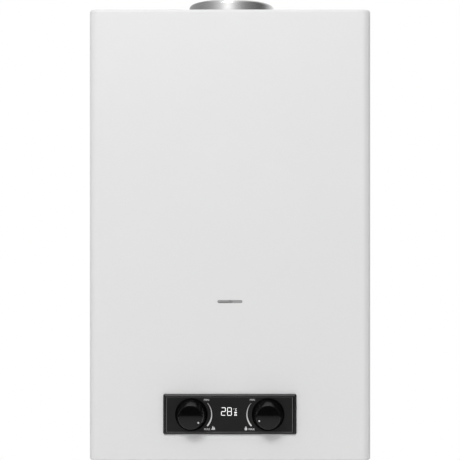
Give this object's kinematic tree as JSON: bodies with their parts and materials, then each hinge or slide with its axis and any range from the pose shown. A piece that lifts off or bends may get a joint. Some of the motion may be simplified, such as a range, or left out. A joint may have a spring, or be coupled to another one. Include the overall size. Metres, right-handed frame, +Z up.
{
  "type": "tankless gas water heater",
  "caption": "Wall-hung open-flue instantaneous gas water heater: grey pressed casing, round flue collar, black control strip with two knobs and a display, threaded pipe unions below.",
  "frame": {"origin": "on the wall plane, midway between the two upper hanging holes", "axes": "+Z up, +Y into the wall, so the front faces -Y; +X to the right as seen from the front"},
  "size_m": [0.332, 0.1976, 0.572],
  "materials": {
    "cover_paint": "light grey satin paint",
    "galvanised": "zinc-coated sheet",
    "flue_steel": "bright rolled steel",
    "copper": "bare copper",
    "burner_steel": "stainless sheet",
    "cast_alloy": "die-cast",
    "brass": "turned",
    "screw_steel": "zinc-plated",
    "white_ceramic": "unglazed",
    "black_rubber": "matte",
    "red_lead": "silicone insulation",
    "white_lead": "silicone insulation",
    "coil_black": "satin",
    "dark_plastic": "moulded",
    "pale_plastic": "moulded",
    "cell_jacket": "printed sleeve",
    "bezel_black": "satin black",
    "fascia_grey": "gloss",
    "board_green": "coated board",
    "display_dark": "gloss",
    "mica": "mica sheet",
    "knob_black": "gloss"
  },
  "bodies": {
    "casing": {"front_cover": "cover_paint", "rear_plate": "galvanised", "bottom_plate": "galvanised", "exchanger_bracket": "galvanised", "burner_bracket": "galvanised", "burner_frame": "galvanised", "electrode_bracket": "galvanised", "valve_bracket": "galvanised", "switch_bracket": "galvanised", "draught_hood": "flue_steel", "flue_collar": "flue_steel", "exchanger_shell": "copper", "fin_block": "copper", "return_bends": "copper", "coil_pipe": "copper", "hot_pipe": "copper", "burner_bars": "burner_steel", "electrode_wires": "burner_steel", "poppet_spring": "burner_steel", "battery_contacts": "burner_steel", "spill_sensor": "burner_steel", "overheat_thermostat": "burner_steel", "outlet_sensor": "burner_steel", "gas_valve_body": "cast_alloy", "gas_valve_cap": "cast_alloy", "gas_manifold": "cast_alloy", "injectors": "brass", "water_cover": "brass", "water_body": "brass", "drain_plug": "brass", "spindle_glands": "brass", "hot_union": "brass", "gas_union": "brass", "cold_union": "brass", "pipe_nuts": "brass", "cover_screws": "screw_steel", "hood_screws": "screw_steel", "water_section_screws": "screw_steel", "electrode_ceramics": "white_ceramic", "diaphragm": "black_rubber", "ignition_lead": "red_lead", "flame_lead": "white_lead", "gas_solenoid": "coil_black", "microswitch": "dark_plastic", "battery_box": "dark_plastic", "control_box": "pale_plastic", "batteries": "cell_jacket", "panel_bezel": "bezel_black", "fascia": "fascia_grey", "display_board": "board_green", "display_module": "display_dark", "window_pane": "mica"},
    "gas_control": {"gas_knob": "knob_black", "gas_spindle": "brass"},
    "water_control": {"water_knob": "knob_black", "water_spindle": "brass"},
    "rod": {"push_rod": "brass", "gas_poppet": "black_rubber"},
    "lever": {"switch_lever": "burner_steel"},
    "door": {"battery_door": "dark_plastic"}
  },
  "joints": [
    {"name": "gas_knob_turn", "type": "hinge", "parent": "casing", "child": "gas_control", "pos_m": [-0.045, -0.184, -0.4245], "axis": [0, -1, 0], "range_deg": [0, 70]},
    {"name": "water_knob_turn", "type": "hinge", "parent": "casing", "child": "water_control", "pos_m": [0.045, -0.184, -0.4245], "axis": [0, -1, 0], "range_deg": [-58.2, 13.2]},
    {"name": "rod_slide", "type": "slide", "parent": "casing", "child": "rod", "axis": [-1, 0, 0], "range_m": [0, 0.004], "stiffness_N_per_m": 1500, "springref_m": -0.004, "deforming": ["poppet_spring"]},
    {"name": "switch_lever_turn", "type": "hinge", "parent": "casing", "child": "lever", "pos_m": [0.002, -0.104, -0.4085], "axis": [0, 1, 0], "range_deg": [0, 23]},
    {"name": "battery_door_swing", "type": "hinge", "parent": "casing", "child": "door", "pos_m": [0.12, -0.1174, -0.4791], "axis": [1, 0, 0], "range_deg": [0, 95]}
  ],
  "couplings": [
    {"joint": "switch_lever_turn", "follows": "rod_slide", "rad_per_m": 95.238}
  ]
}
